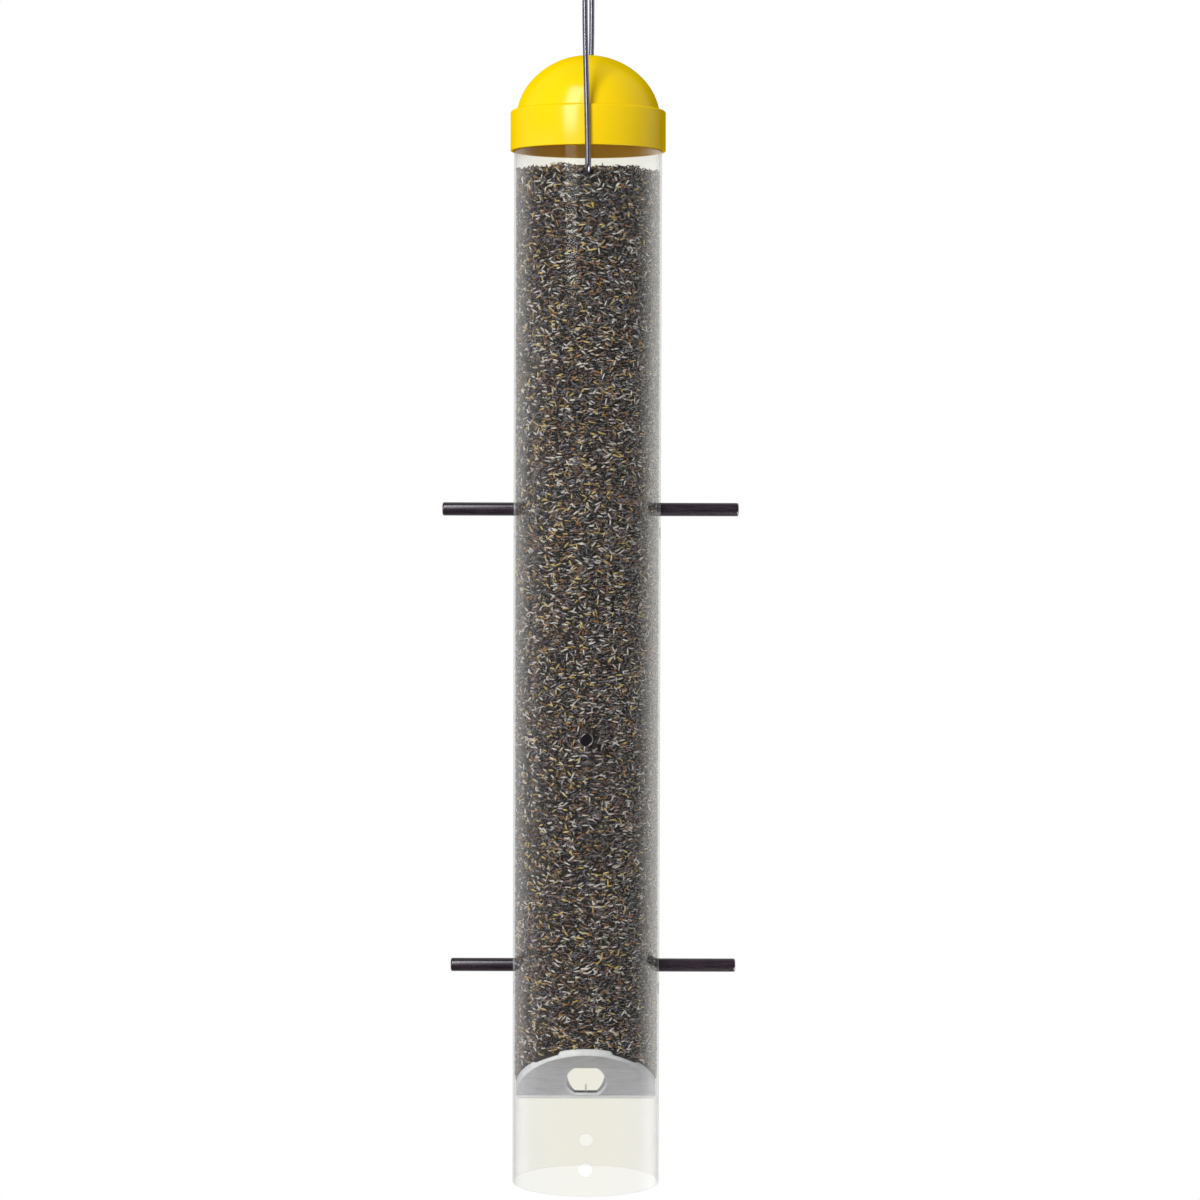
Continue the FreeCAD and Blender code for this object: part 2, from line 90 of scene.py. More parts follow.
# Perches and holes. The tube's wall is worked out flat, from a seam at SEAM degrees.
PERCH_EASE = 0.9 * MM
PERCH_HOLE = 3.225 * MM
PORT_RADIUS = 2.6 * MM
PORT_DROP = 11.2 * MM
PIN_HOLE = 1.35 * MM
TRAY_HOLE = 3.3 * MM
TRAY_LEVEL = RIM + 12.5 * MM
HOLE_STEPS = 40
HOLE_TOUCH = 0.03 * MM
WALL_COLUMNS = 144
SEAM = 45.0

# Baffle
PANEL_RISE = 25.4 * MM
PANEL_DEPTH = 1.9 * MM
PANEL_INSET = 0.2 * MM
FLANGE_FOOT = BAFFLE_LOW.z + 6.1 * MM
FLANGE_RISE = 21.4 * MM
FLANGE_TAB = 0.9 * MM
FLANGE_DIP = 1.0 * MM
TAB_HALF_WIDTH = 12.0 * MM
DIP_HALF_WIDTH = 23.7 * MM
STEP_RAMP = 1.4 * MM
FLANGE_WALL = 1.3 * MM
FLANGE_EASE = 0.3 * MM
BAFFLE_RADIUS = BAFFLE_HIGH.x
VALLEY_LEVEL = BAFFLE_LOW.z
BEAD_RADIUS = 1.0 * MM
BEAD_DROP = 0.3 * MM
BEAD_INSET = 0.5 * MM
DUCT_LEVEL = VALLEY_LEVEL + 9.8 * MM
DUCT_RADIUS = 9.3 * MM
DUCT_HALF_HEIGHT = 7.7 * MM
DUCT_WALL = 1.4 * MM
DUCT_INSET = 0.3 * MM
DUCT_LIFT = 0.4 * MM
RIB_WIDTH = 0.9 * MM
RIB_RISE = 5.5 * MM
RIB_DEPTH = 1.4 * MM

# Seed
GRAIN_LENGTH = 3.2 * MM
GRAIN_RADIUS = 0.40 * MM
GRAIN_SIDES = 5
GRAIN_PITCH = 2.75 * MM
GRAIN_ROW = 1.0 * MM
GRAIN_LIMIT = TUBE_BORE - 0.12 * MM
LAYER_DEPTHS = (0.5 * MM, 1.2 * MM)
LAYER_SCATTER = 0.7 * MM
LYING_SPREAD = math.radians(24)
LEANING_SPREAD = math.radians(9)
LOOSE_SHARE = 0.34
STANDING_SHARE = 0.06
FLANGE_GAP = 1.1 * MM
FITTING_GAP = 0.9 * MM
PIN_GAP = 1.5 * MM
HEAP_LEVEL = SEED_HIGH.z + 5.2 * MM
HEAP_WAVE = 2 * MM
HEAP_DEPTH = 3.2 * MM
HEAP_RADIUS = TUBE_BORE - 1.2 * MM
HEAP_GRAINS = 3800
CORE_RADIUS = 32.0 * MM
CORE_DROP = 2.4 * MM
CORE_GAP = 0.5 * MM
CORE_BESIDE = 1.6 * MM
GRAINS_PER_PIECE = 6400

# Each colour of seed as its name, its share, its dark and light tone and its roughness
GRAIN_COLOURS = (
    ("black", 0.44, (0.004, 0.003, 0.003), (0.018, 0.013, 0.014), 0.20),
    # Partly painted highlight: the bluish grey of these seeds stands in for glints on the seeds' shiny coats.
    ("grey_and_glint", 0.19, (0.062, 0.058, 0.074), (0.180, 0.172, 0.215), 0.20),
    ("brown", 0.17, (0.092, 0.046, 0.028), (0.210, 0.120, 0.072), 0.28),
    # Partly painted highlight: the light lavender grey of these seeds stands in for glints on the seeds'
    # shiny coats.
    ("pale", 0.12, (0.360, 0.335, 0.335), (0.740, 0.710, 0.710), 0.30),
    ("straw", 0.06, (0.360, 0.250, 0.080), (0.640, 0.500, 0.200), 0.34),
    ("rust", 0.02, (0.220, 0.080, 0.018), (0.400, 0.180, 0.050), 0.34),
)

# Stage
AIM = Vector((0, 0, -0.33))
FLOOR_LEVEL = -1.0
FLOOR_RADIUS = 1.4
CAMERA_SPOT = Vector((6.0 * MM, -1.58, RIM + 347 * MM))
CAMERA_LENS = 99.67
CAMERA_TIP = 2.474
CAMERA_ROLL = -0.156
FRONT_GLOW, REAR_GLOW = 0.26, 1.12
REFLECTOR_WAY = Vector((0.62, -0.25, -0.74)).normalized()
REFLECTOR_STRENGTH = 8.0


# Meshes ------------------------------------------------------------------------------------------------


def mesh_object(name, points, faces, smooth_under=None):
    """A new object of these points and faces, shaded smooth except at edges sharper than smooth_under."""
    mesh = bpy.data.meshes.new(name)
    mesh.from_pydata([tuple(p) for p in points], [], faces)
    mesh.validate()
    mesh.shade_smooth()
    if smooth_under is not None:
        mesh.set_sharp_from_angle(angle=math.radians(smooth_under))
    made = bpy.data.objects.new(name, mesh)
    bpy.context.scene.collection.objects.link(made)
    return made


def arc(centre, radius, start, end, steps):
    """Points on an arc between two bearings in degrees."""
    bearings = np.radians(np.linspace(start, end, steps))
    return [(centre[0] + radius * math.cos(b), centre[1] + radius * math.sin(b)) for b in bearings]


def band(rings, sides, closed=False):
    """Faces between rings of points that follow each other, and between the last and the first if closed."""
    faces = []
    for ring in range(rings if closed else rings - 1):
        here, there = ring * sides, (ring + 1) % rings * sides
        for side in range(sides):
            after = (side + 1) % sides
            faces.append([here + side, here + after, there + after, there + side])
    return faces


def open_edges(faces):
    """The edges that only one of these faces has."""
    used = dict.fromkeys((a, b) for face in faces for a, b in zip(face, face[1:] + face[:1]))
    return [(a, b) for a, b in used if (b, a) not in used]


def lathe(name, section, turn=lambda across, side, along: (across, side, along), steps=192):
    """A round shape turned from a section of (radius, distance along the axis) points.

    A point of the section on the axis closes the shape there. turn places a point that was worked out
    about Z, so that a rod can lie along another axis.
    """
    points, rings, faces = [], [], []
    for radius, along in section:
        count = steps if radius > 1e-7 else 1
        rings.append(range(len(points), len(points) + count))
        for step in range(count):
            bearing = 2 * math.pi * step / steps
            points.append(turn(radius * math.cos(bearing), radius * math.sin(bearing), along))
    for upper, lower in zip(rings, rings[1:]):
        for step in range(steps):
            after = (step + 1) % steps
            corners = [upper[step % len(upper)], lower[step % len(lower)]]
            corners += [lower[after % len(lower)], upper[after % len(upper)]]
            faces.append(list(dict.fromkeys(corners)))
    return mesh_object(name, points, [face for face in faces if len(face) > 2], smooth_under=35)


def finish_piece(piece, body, slot, material, *replaced):
    """Gives a piece its material, the body it moves with and the CAD nodes it stands for. The slot argument
    is not used.
    """
    piece.data.materials.clear()
    piece.data.materials.append(material)
    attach(piece, body)
    if replaced:
        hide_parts(*replaced)


# Materials ---------------------------------------------------------------------------------------------


def add(tree, kind, inputs=None, **settings):
    """A new node with its settings and inputs. An input given as a socket is linked, and a number is set."""
    made = tree.nodes.new(kind)
    for name, value in settings.items():
        setattr(made, name, value)
    for name, value in (inputs or {}).items():
        if isinstance(value, bpy.types.NodeSocket):
            tree.links.new(value, made.inputs[name])
        else:
            made.inputs[name].default_value = value
    return made


def empty_material(name):
    material = bpy.data.materials.new(name)
    material.use_nodes = True
    material.node_tree.nodes.clear()
    return material, material.node_tree


def show(tree, shader):
    add(tree, "ShaderNodeOutputMaterial", {"Surface": shader})


def place(tree, stretch=(1, 1, 1)):
    """Where a point lies on its piece, in metres, with each axis scaled."""
    spot = add(tree, "ShaderNodeTexCoord").outputs["Object"]
    return add(tree, "ShaderNodeMapping", {"Vector": spot, "Scale": stretch}).outputs["Vector"]


def noise(tree, spot, feature, detail=3.0, rough=0.55):
    """Noise whose features are about that size."""
    inputs = {"Vector": spot, "Scale": 1 / feature, "Detail": detail, "Roughness": rough}
    return add(tree, "ShaderNodeTexNoise", inputs).outputs["Fac"]


def blend(tree, value, *stops):
    """A colour that runs through (position, colour) stops as the value goes from 0 to 1."""
    ramp = add(tree, "ShaderNodeValToRGB", {"Fac": value})
    while len(ramp.color_ramp.elements) < len(stops):
        ramp.color_ramp.elements.new(0.5)
    for element, (position, colour) in zip(ramp.color_ramp.elements, stops):
        element.position = position
        element.color = (*colour, 1)
    return ramp.outputs["Color"]


def ranged(tree, value, start, end, low, high):
    """A number that goes from low to high as the value goes from start to end."""
    inputs = {"Value": value, "From Min": start, "From Max": end, "To Min": low, "To Max": high}
    return add(tree, "ShaderNodeMapRange", inputs).outputs["Result"]


def spread(tree, value, low, high):
    """A number from low to high as a noise goes over the middle of its range."""
    return ranged(tree, value, 0.3, 0.7, low, high)


def scaled(tree, value, factor, extra):
    """The value times the factor, plus the extra."""
    inputs = {0: value, 1: factor, 2: extra}
    return add(tree, "ShaderNodeMath", inputs, operation="MULTIPLY_ADD").outputs[0]


def mixed(tree, share, first, second):
    """Two shaders in one, with this share of the second."""
    return add(tree, "ShaderNodeMixShader", {0: share, 1: first, 2: second}).outputs[0]


def bump(tree, height, depth, strength=1.0):
    inputs = {"Height": height, "Distance": depth, "Strength": strength}
    return add(tree, "ShaderNodeBump", inputs).outputs["Normal"]


def principled(tree, inputs):
    return add(tree, "ShaderNodeBsdfPrincipled", inputs).outputs["BSDF"]


def cap_plastic():
    """Moulded yellow plastic with a faint orange peel, through which some light comes.

    Its gloss fades towards its outline, so that the white around the feeder does not bleach it there.
    """
    material, tree = empty_material("yellow_plastic")
    spot = place(tree)
    drift = noise(tree, spot, 22 * MM)
    peel = noise(tree, spot, 1.3 * MM, 2.0)
    facing = add(tree, "ShaderNodeLayerWeight", {"Blend": 0.5}).outputs["Facing"]
    inputs = {
        "Base Color": blend(tree, drift, (0.3, (0.92, 0.65, 0.001)), (0.7, (0.94, 0.69, 0.002))),
        "Roughness": spread(tree, noise(tree, spot, 6 * MM), 0.30, 0.38),
        "Normal": bump(tree, peel, 0.02 * MM, 0.4),
        "Specular IOR Level": 0.0,
        "Coat Weight": blend(tree, facing, (0.1, (1.0, 1.0, 1.0)), (0.65, (0.0, 0.0, 0.0))),
        "Coat Roughness": 0.20,
    }
    through = add(tree, "ShaderNodeBsdfTranslucent", {"Color": (0.95, 0.52, 0.003, 1)}).outputs[0]
    show(tree, mixed(tree, 0.2, principled(tree, inputs), through))
    return material


def drawn_steel():
    """Dull drawn wire, darker at a slant as painted shade: fine lines along its length and a slightly mottled
    finish.
    """
    material, tree = empty_material("drawn_steel")
    lines = noise(tree, place(tree, (1, 1, 0.04)), 0.35 * MM, 4.0)
    mottle = noise(tree, place(tree), 5 * MM)
    inputs = {
        # Partly painted shade: the low tones and the dark edge tint stand in for the dark surroundings that
        # the wire reflects, most towards its outline.
        "Base Color": blend(tree, mottle, (0.3, (0.19, 0.18, 0.22)), (0.7, (0.25, 0.24, 0.30))),
        "Metallic": 1.0,
        "Specular Tint": (0.45, 0.42, 0.42, 1),
        "Roughness": spread(tree, lines, 0.24, 0.32),
        "Normal": bump(tree, lines, 0.002 * MM, 0.03),
    }
    show(tree, principled(tree, inputs))
    return material


def perch_lacquer():
    """Dowel in a dark brown gloss finish, with the grain just showing along the rod."""
    material, tree = empty_material("dark_lacquer")
    grain = noise(tree, place(tree, (0.08, 0.08, 1)), 0.7 * MM, 4.0)
    inputs = {
        "Base Color": blend(tree, grain, (0.35, (0.012, 0.006, 0.011)), (0.7, (0.030, 0.018, 0.027))),
        "Roughness": spread(tree, grain, 0.22, 0.30),
        "Normal": bump(tree, grain, 0.02 * MM, 0.5),
        "Coat Weight": 0.4,
        "Coat Roughness": 0.15,
    }
    show(tree, principled(tree, inputs))
    return material


def sealed_end():
    """The glossier, nearly black seal on the cut ends of the dowels."""
    material, tree = empty_material("sealed_end")
    rings = noise(tree, place(tree), 0.5 * MM, 3.0)
    inputs = {
        "Base Color": blend(tree, rings, (0.3, (0.002, 0.001, 0.002)), (0.7, (0.006, 0.003, 0.005))),
        "Roughness": spread(tree, rings, 0.12, 0.18),
        "Coat Weight": 1.0,
        "Coat Roughness": 0.08,
    }
    show(tree, principled(tree, inputs))
    return material


def clear_plastic():
    """Thin clear plastic: slightly cream to look through, with a painted reflection that turns it cooler
    towards its outline, and shinier and hazier towards its outline.
    """
    material, tree = empty_material("clear_plastic")
    facing = add(tree, "ShaderNodeLayerWeight", {"Blend": 0.5}).outputs["Facing"]
    cream, neutral, cool = (0.960, 0.955, 0.924), (0.964, 0.962, 0.949), (0.97, 0.972, 0.975)
    # The cool tone towards the outline is painted reflection; the cream where it faces the camera is the
    # plastic's own tint.
    tint = blend(tree, facing, (0.0, cream), (0.5, neutral), (0.9, cool))
    clear = add(tree, "ShaderNodeBsdfTransparent", {"Color": tint}).outputs[0]
    haze = add(tree, "ShaderNodeBsdfDiffuse", {"Color": (0.9, 0.9, 0.92, 1)}).outputs[0]
    smudge = spread(tree, noise(tree, place(tree, (1, 1, 0.35)), 18 * MM, 4.0), 0.06, 0.11)
    gloss = {"Color": (1.0, 0.985, 0.945, 1), "Roughness": smudge}
    gloss = add(tree, "ShaderNodeBsdfGlossy", gloss).outputs[0]
    steep = add(tree, "ShaderNodeMath", {0: facing, 1: 3.0}, operation="POWER").outputs[0]
    dust = spread(tree, noise(tree, place(tree), 9 * MM), 0.002, 0.006)
    hazed = mixed(tree, scaled(tree, steep, 0.08, dust), clear, haze)
    show(tree, mixed(tree, scaled(tree, steep, 0.52, 0.004), hazed, gloss))
    return material


def milky_plastic(name, tone, solid, glow):
    """Translucent natural plastic, unevenly milky.

    About the share solid of the light is scattered, and the share glow of that comes out on the far side.
    The rest goes straight through.
    """
    material, tree = empty_material(name)
    mottle = noise(tree, place(tree, (0.45, 1, 1)), 3.2 * MM, 6.0, 0.75)
    dim = tuple(0.74 * part for part in tone)
    inputs = {
        "Base Color": blend(tree, mottle, (0.3, dim), (0.7, tone)),
        "Roughness": spread(tree, mottle, 0.3, 0.42),
        "Normal": bump(tree, noise(tree, place(tree), 1.2 * MM), 0.06 * MM, 0.7),
    }
    milk = add(tree, "ShaderNodeBsdfTranslucent", {"Color": (*tone, 1)}).outputs[0]
    scattered = mixed(tree, glow, principled(tree, inputs), milk)
    clear = add(tree, "ShaderNodeBsdfTransparent", {"Color": (0.93, 0.93, 0.95, 1)}).outputs[0]
    show(tree, mixed(tree, spread(tree, mottle, solid - 0.03, solid + 0.03), clear, scattered))
    return material


def grain_coat(name, dark, light, rough):
    """The shiny coat of one colour of seed, which changes a little along a seed and from seed to seed."""
    material, tree = empty_material(name)
    tone = noise(tree, place(tree), 2.6 * MM, 3.0, 0.7)
    inputs = {
        "Base Color": blend(tree, tone, (0.32, dark), (0.68, light)),
        "Roughness": spread(tree, tone, rough - 0.05, rough + 0.08),
        "Specular IOR Level": 0.9,
    }
    show(tree, principled(tree, inputs))
    return material


def packed_seed_painted_shade():
    """What shows between the outer seeds: more seed, painted near black as the deep shade between and behind
    them.
    """
    material, tree = empty_material("packed_seed_painted_shade")
    spot = place(tree, (0.5, 0.5, 1.6))
    cells = add(tree, "ShaderNodeTexVoronoi", {"Vector": spot, "Scale": 1 / (1.5 * MM)})
    tone = noise(tree, place(tree), 3 * MM, 4.0)
    inputs = {
        # Painted shade: these near-black tones stand for the shade deep among the seeds.
        "Base Color": blend(tree, tone, (0.35, (0.010, 0.008, 0.007)), (0.7, (0.05, 0.038, 0.028))),
        "Roughness": spread(tree, tone, 0.5, 0.7),
        "Normal": bump(tree, cells.outputs["Distance"], 0.5 * MM, 1.0),
    }
    show(tree, principled(tree, inputs))
    return material


# Tube --------------------------------------------------------------------------------------------------


def middle(node):
    low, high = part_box(node)
    return (low + high) / 2


def along_x(node):
    low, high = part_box(node)
    return high.x - low.x > high.y - low.y


def tube_holes():
    """Each hole in the tube's wall as (bearing, level, radius)."""
    holes = []
    for node in PERCHES:
        level = middle(node).z
        bearings = (180, 360) if along_x(node) else (90, 270)
        holes += [(bearing, level, PERCH_HOLE) for bearing in bearings]
        holes += [(bearing, level - PORT_DROP, PORT_RADIUS) for bearing in bearings]
    holes += [(bearing, PIN_LEVEL, PIN_HOLE) for bearing in (90, 270)]
    holes += [(bearing, TRAY_LEVEL, TRAY_HOLE) for bearing in (90, 270)]
    return holes


def wall_lines(holes):
    """The lines that the flat wall is cut along, as points in millimetres and edges.

    Upright lines keep every triangle within one narrow column, so that the wall stays round when rolled up.
    """
    points, edges = [], []
    for step in range(WALL_COLUMNS + 1):
        bearing = math.radians(SEAM + step * 360 / WALL_COLUMNS)
        points += [Vector((bearing * TUBE_RADIUS / MM, level / MM)) for level in (RIM, TUBE_TOP)]
        edges.append((2 * step, 2 * step + 1))
    for bearing, level, radius in holes:
        first = len(points)
        for step in range(HOLE_STEPS):
            turn = 2 * math.pi * (step + 0.5) / HOLE_STEPS
            across = math.asin(radius * math.cos(turn) / TUBE_RADIUS)
            along = (math.radians(bearing) + across) * TUBE_RADIUS
            points.append(Vector((along / MM, (level + radius * math.sin(turn)) / MM)))
            edges.append((first + step, first + (step + 1) % HOLE_STEPS))
    return points, edges


def nearest_hole(point, holes):
    """How far outside the nearest hole's edge a point of the flat wall is, and that hole."""
    best = (1.0, None)
    for hole in holes:
        turn = point[0] - math.radians(hole[0])
        if abs(turn) < 1:
            gap = math.hypot(TUBE_RADIUS * math.sin(turn), point[1] - hole[1]) - hole[2]
            best = min(best, (gap, hole))
    return best


def bore_points(flat, holes):
    """The flat wall's points as they lie on the bore, where a hole takes up a wider angle."""
    inner = []
    for bearing, level in flat:
        gap, hole = nearest_hole((bearing, level), holes)
        if hole and abs(gap) < HOLE_TOUCH:
            start = math.radians(hole[0])
            bearing = start + math.asin(math.sin(bearing - start) * TUBE_RADIUS / TUBE_BORE)
        inner.append((bearing, level))
    return inner


def closed_up(flat, faces):
    """The faces with the last column's points replaced by the first's, which they meet when rolled up."""
    first, last = math.radians(SEAM), math.radians(SEAM + 360)
    start_line = {round(p[1] / MM, 2): i for i, p in enumerate(flat) if abs(p[0] - first) < 1e-5}
    joined = list(range(len(flat)))
    for index, point in enumerate(flat):
        if abs(point[0] - last) < 1e-5:
            joined[index] = start_line[round(point[1] / MM, 2)]
    return [[joined[corner] for corner in face] for face in faces]


def unrolled_wall(holes):
    """The tube's wall laid flat, as (bearing, level) points outside and on the bore, and the faces."""
    flat, _, faces, *_ = delaunay_2d_cdt(*wall_lines(holes), [], 0, 1e-5)
    flat = [(p.x * MM / TUBE_RADIUS, p.y * MM) for p in flat]
    kept = []
    for face in faces:
        centre = np.mean([flat[corner] for corner in face], axis=0)
        if nearest_hole(centre, holes)[0] > 0:
            kept.append(list(face))
    return flat, bore_points(flat, holes), closed_up(flat, kept)


def rolled(point, radius):
    return (radius * math.cos(point[0]), radius * math.sin(point[0]), point[1])


def round_normals(mesh, outer, walls):
    """Exact normals on the outer and inner wall's faces, and each face's own on the rims and in the holes."""
    normals = []
    for face in mesh.polygons:
        for corner in face.vertices:
            spot = mesh.vertices[corner].co
            outward = Vector((spot.x, spot.y, 0)).normalized()
            on_wall = outward if face.index < outer else -outward
            normals.append(tuple(on_wall if face.index < walls else face.normal))
    mesh.normals_split_custom_set(normals)


def make_tube(material, cut_edge_and_highlight):
    """The clear tube, with every hole cut through its wall. The cut edges of the holes are paler, partly as
    painted highlight, so that the holes show bright rims.
    """
    flat, inner, wall = unrolled_wall(tube_holes())
    count = len(flat)
    points = [rolled(p, TUBE_RADIUS) for p in flat] + [rolled(p, TUBE_BORE) for p in inner]
    faces = wall + [[count + corner for corner in reversed(face)] for face in wall]
    faces += [[b, a, count + a, count + b] for a, b in open_edges(wall)]
    tube = mesh_object("clear_tube", points, faces)
    mesh = tube.data
    walls = 2 * len(wall)
    round_normals(mesh, len(wall), walls)
    finish_piece(tube, "feeder", "clear_tube", material, "tube")
    # The paler cut edges are partly painted highlight.
    mesh.materials.append(cut_edge_and_highlight)
    for face in mesh.polygons[walls:]:
        if RIM + MM < face.center.z < TUBE_TOP - MM:
            face.material_index = 1


# Perches -----------------------------------------------------------------------------------------------


def make_perch(node, material, end_material):
    """A dowel with its ends just eased and sealed darker."""
    low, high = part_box(node)
    centre = middle(node)
    lengthways = along_x(node)
    size = high - low
    half = max(size.x, size.y) / 2
    radius = size.z / 2
    edge = arc((radius - PERCH_EASE, half - PERCH_EASE), PERCH_EASE, 90, 0, 6)
    section = [(0, half), *edge, *[(across, -along) for across, along in reversed(edge)], (0, -half)]

    def lie(across, side, along):
        if lengthways:
            return (centre.x + along, centre.y + side, centre.z + across)
        return (centre.x + side, centre.y + along, centre.z + across)

    perch = lathe(f"{node}_dowel", section, lie, 64)
    finish_piece(perch, "feeder", "dark_perch", material, node)
    perch.data.materials.append(end_material)
    for face in perch.data.polygons:
        away = face.center - centre
        if max(abs(away.x), abs(away.y)) > half - PERCH_EASE:
            face.material_index = 1


# Bail --------------------------------------------------------------------------------------------------


def bail_route():
    """The wire's centre line from one turned-in end to the other, as (y, z) points."""
    reach = LEG_OFFSET + NECK_RADIUS
    throat = CROOK_RADIUS + NECK_RADIUS
    rise = CROOK_LEVEL - BOW_LEVEL
    neck_up = (reach**2 - throat**2 + rise**2) / (2 * rise)
    neck_out = math.sqrt(reach**2 - neck_up**2)
    neck = (neck_out, BOW_LEVEL + neck_up)
    bow_end = math.degrees(math.atan2(neck_up, neck_out))
    crook_start = math.degrees(math.atan2(neck_up - rise, neck_out))
    bend = (LEG_OFFSET - BAIL_BEND, PIN_LEVEL + BAIL_BEND)
    half = [(PIN_INNER_END, PIN_LEVEL), (PIN_INNER_END + PIN_EASE, PIN_LEVEL)]
    half += arc(bend, BAIL_BEND, 270, 360, 14)
    legs = 40
    for step in range(1, legs):
        half.append((LEG_OFFSET, bend[1] + (BOW_LEVEL - bend[1]) * step / legs))
    half += arc((0, BOW_LEVEL), LEG_OFFSET, 0, bow_end, 32)
    half += arc(neck, NECK_RADIUS, bow_end + 180, crook_start + 180, 20)[1:]
    half += arc((0, CROOK_LEVEL), CROOK_RADIUS, crook_start, 90, 20)[1:]
    return half + [(-across, up) for across, up in reversed(half[:-1])]


def make_bail(material, sides=20):
    """The wire bail, slightly twisted above its ends as a hand-bent one is."""
    route = np.array(bail_route())
    runs = np.gradient(route, axis=0)
    runs /= np.linalg.norm(runs, axis=1)[:, None]
    thick = np.full(len(route), WIRE_RADIUS)
    thick[[0, -1]] = PIN_END_RADIUS
    points = []
    for (across, up), (run_y, run_z), radius in zip(route, runs, thick):
        lift = min(max((up - PIN_LEVEL) / TWIST_RISE, 0.0), 1.0)
        twist = BAIL_TWIST * lift * lift * (3 - 2 * lift)
        cos, sin = math.cos(twist), math.sin(twist)
        for side in range(sides):
            turn = 2 * math.pi * side / sides
            x = radius * math.cos(turn)
            y = across - radius * math.sin(turn) * run_z
            z = up + radius * math.sin(turn) * run_y
            points.append((x * cos + y * sin, y * cos - x * sin, z))
    faces = band(len(route), sides)
    faces.append(list(reversed(range(sides))))
    faces.append([(len(route) - 1) * sides + side for side in range(sides)])
    bail = mesh_object("bail", points, faces, smooth_under=50)
    finish_piece(bail, "bail", "steel_wire", material, "bail_wire")


# Cap ---------------------------------------------------------------------------------------------------


def dome_arcs(inset, foot):
    """The dome's section from its apex down to the level foot, as (radius, level) points.

    It lies the distance inset inside the dome's outer skin.
    """
    top = CAP_HIGH.z
    drop = DOME_LEVEL - (top - CROWN_RADIUS)
    shoulder = (CROWN_RADIUS**2 - DOME_RADIUS**2 - drop**2) / (2 * (CROWN_RADIUS - DOME_RADIUS))
    centre = (DOME_RADIUS - shoulder, DOME_LEVEL)
    crown = (0.0, top - CROWN_RADIUS)
    join = math.degrees(math.atan2(centre[1] - crown[1], centre[0] - crown[0]))
    start = math.degrees(math.asin((foot - DOME_LEVEL) / (shoulder - inset)))
    down = arc(crown, CROWN_RADIUS - inset, 90, join, 28)
    down[0] = (0.0, top - inset)
    return down + arc(centre, shoulder - inset, join, start, 24)[1:]


def make_cap(material):
    """The lift-off cap: a dome on a skirt, hollow, with a shoulder inside that rests on the tube's rim."""
    section = dome_arcs(0.0, SKIRT_TOP + DOME_FILLET)
    fillet = (section[-1][0] + DOME_FILLET, SKIRT_TOP + DOME_FILLET)
    section += arc(fillet, DOME_FILLET, 180, 270, 6)[1:]
    section += arc((SKIRT_RADIUS - SKIRT_ROUND, SKIRT_TOP - SKIRT_ROUND), SKIRT_ROUND, 90, 0, 10)
    low = CAP_LOW.z + EDGE_ROUND
    section += arc((SKIRT_RADIUS - EDGE_ROUND, low), EDGE_ROUND, 0, -90, 5)
    section += arc((SKIRT_BORE + EDGE_ROUND, low), EDGE_ROUND, 270, 180, 5)
    section += [(SKIRT_BORE, TUBE_TOP)]
    section += list(reversed(dome_arcs(CAP_WALL, TUBE_TOP)))
    finish_piece(lathe("domed_cap", section), "cap", "yellow_cap", material, "cap")


# Seed --------------------------------------------------------------------------------------------------


def grain_shape():
    """One seed along X, of length 1 and radius 1, as points and triangles. Its two ends are not alike."""
    rings = ((-0.40, 0.62), (-0.05, 1.0), (0.32, 0.74))
    points = [(-0.5, 0.0, 0.0)]
    for along, radius in rings:
        for side in range(GRAIN_SIDES):
            turn = 2 * math.pi * side / GRAIN_SIDES
            points.append((along, radius * math.cos(turn), radius * math.sin(turn)))
    points.append((0.5, 0.0, 0.0))
    last = len(points) - 1
    faces = []
    for side in range(GRAIN_SIDES):
        after = (side + 1) % GRAIN_SIDES
        faces.append((0, 1 + after, 1 + side))
        faces.append((last, last - GRAIN_SIDES + side, last - GRAIN_SIDES + after))
        for ring in range(len(rings) - 1):
            a, b = 1 + ring * GRAIN_SIDES + side, 1 + ring * GRAIN_SIDES + after
            c, d = b + GRAIN_SIDES, a + GRAIN_SIDES
            faces += [(a, b, c), (a, c, d)]
    return np.array(points), np.array(faces)


def heap(x, y):
    """How far the seed's top stands above or below its mean level, as three crossing waves."""
    return (
        1.1 * np.sin(150 * x + 0.8) * np.cos(95 * y + 0.3)
        + 0.7 * np.sin(310 * y - 190 * x + 2.1)
        + 0.4 * np.sin(540 * x + 420 * y)
    ) * MM


def slope(y, rise, foot):
    """A level on the baffle's V, which is lowest along X and rises towards the front and the back."""
    return foot + rise * np.abs(y) / TUBE_BORE


def wall_grains(random, depth):
    """Seeds that lie at a depth inside the tube's bore, one to a cell of an uneven grid.

    They are given as centres, headings, tilts out of the level and leanings away from the wall.
    """
    columns = int(2 * math.pi * TUBE_BORE / GRAIN_PITCH)
    rows = int((HEAP_LEVEL + HEAP_WAVE - SEED_LOW.z) / GRAIN_ROW)
    column, row = np.meshgrid(np.arange(columns), np.arange(rows))
    column, row = column.ravel(), row.ravel()
    count = len(column)
    bearing = 2 * math.pi * (column + 0.5 * (row % 2) + random.uniform(-0.45, 0.45, count)) / columns
    level = SEED_LOW.z + (row + random.uniform(-0.6, 0.6, count)) * GRAIN_ROW
    radius = TUBE_BORE - depth - random.uniform(0, LAYER_SCATTER, count)
    centre = np.stack([radius * np.cos(bearing), radius * np.sin(bearing), level], axis=1)
    lying = random.normal(0, LYING_SPREAD, count)
    loose = random.random(count) < LOOSE_SHARE
    lying[loose] = random.uniform(-math.pi / 2, math.pi / 2, loose.sum())
    leaning = random.normal(0, LEANING_SPREAD, count)
    return centre, bearing + math.pi / 2, lying, leaning


